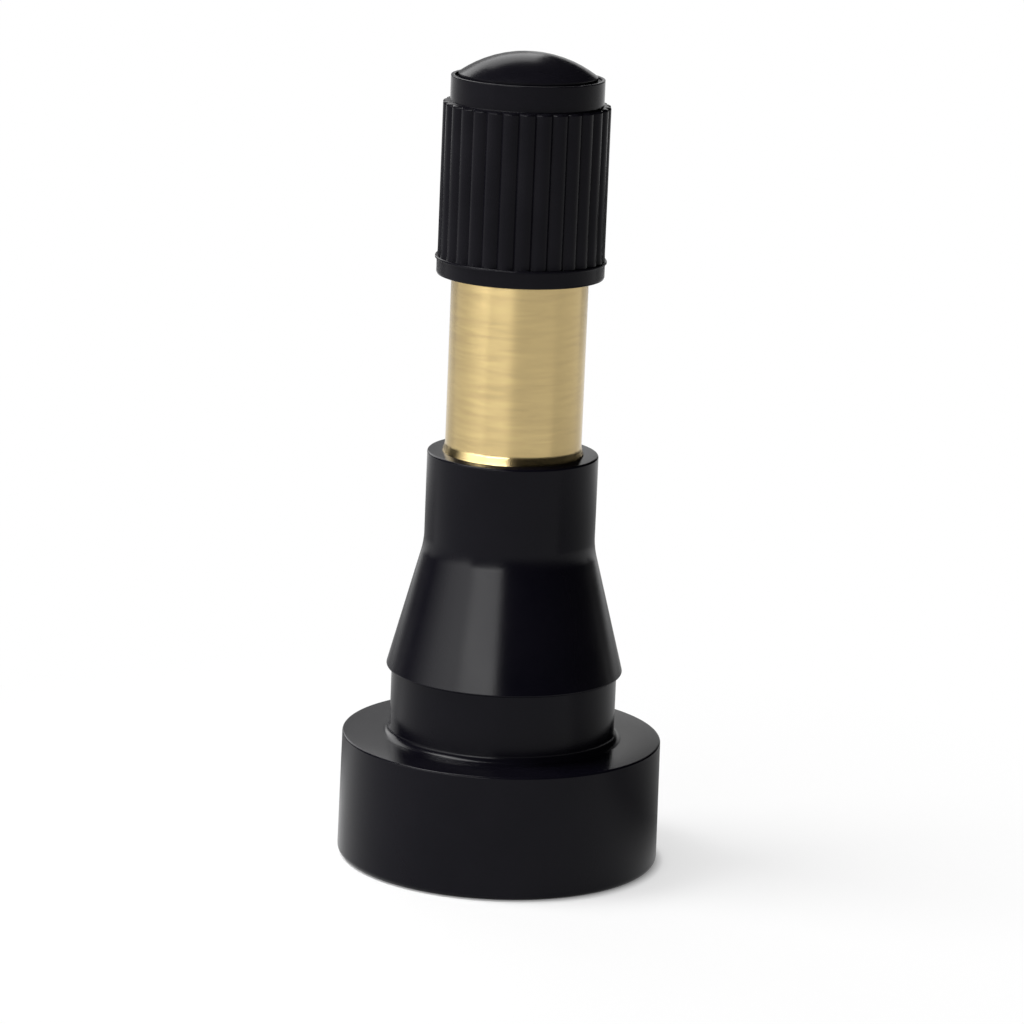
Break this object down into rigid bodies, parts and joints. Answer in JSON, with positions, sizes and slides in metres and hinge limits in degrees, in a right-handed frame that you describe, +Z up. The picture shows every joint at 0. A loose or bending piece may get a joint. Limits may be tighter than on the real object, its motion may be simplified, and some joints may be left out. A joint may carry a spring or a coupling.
{
  "type": "tyre valve",
  "caption": "Snap-in tyre valve with a grooved rubber base, a plain brass stem, a spring-loaded valve core and a ribbed screw cap with a domed top.",
  "frame": {"origin": "the middle of the base flange's lower face, on the stem's axis", "axes": "+Z up the stem towards the cap, +X and +Y across the base, which is round"},
  "size_m": [0.0186, 0.0186, 0.0468],
  "materials": {
    "body_rubber": "smooth moulded, half gloss",
    "stem_brass": "turned, bright",
    "cap_plastic": "moulded, satin",
    "seal_rubber": "plain moulded",
    "core_brass": "turned",
    "packing_plastic": "moulded, satin",
    "spring_steel": "drawn wire"
  },
  "bodies": {
    "valve": {"rubber_body": "body_rubber", "stem": "stem_brass", "core_plug": "core_brass", "core_barrel": "core_brass", "core_packing": "packing_plastic", "core_spring": "spring_steel"},
    "cap_seal": {"cap_seal": "seal_rubber"},
    "cap": {"cap": "cap_plastic"},
    "core_pin": {"core_pin": "core_brass", "core_cup": "core_brass", "cup_seal": "seal_rubber"}
  },
  "joints": [
    {"name": "cap_lift", "type": "slide", "parent": "valve", "child": "cap_seal", "axis": [0, 0, 1], "range_m": [0, 0.0127]},
    {"name": "cap_unscrew", "type": "hinge", "parent": "cap_seal", "child": "cap", "pos_m": [0, 0, 0.0406], "axis": [0, 0, 1], "range_deg": [0, 5761]},
    {"name": "pin_press", "type": "slide", "parent": "valve", "child": "core_pin", "axis": [0, 0, -1], "range_m": [0, 0.0015], "stiffness_N_per_m": 600, "springref_m": -0.002, "deforming": ["core_spring"]}
  ],
  "couplings": [
    {"joint": "cap_unscrew", "follows": "cap_lift", "rad_per_m": 7915.8}
  ]
}
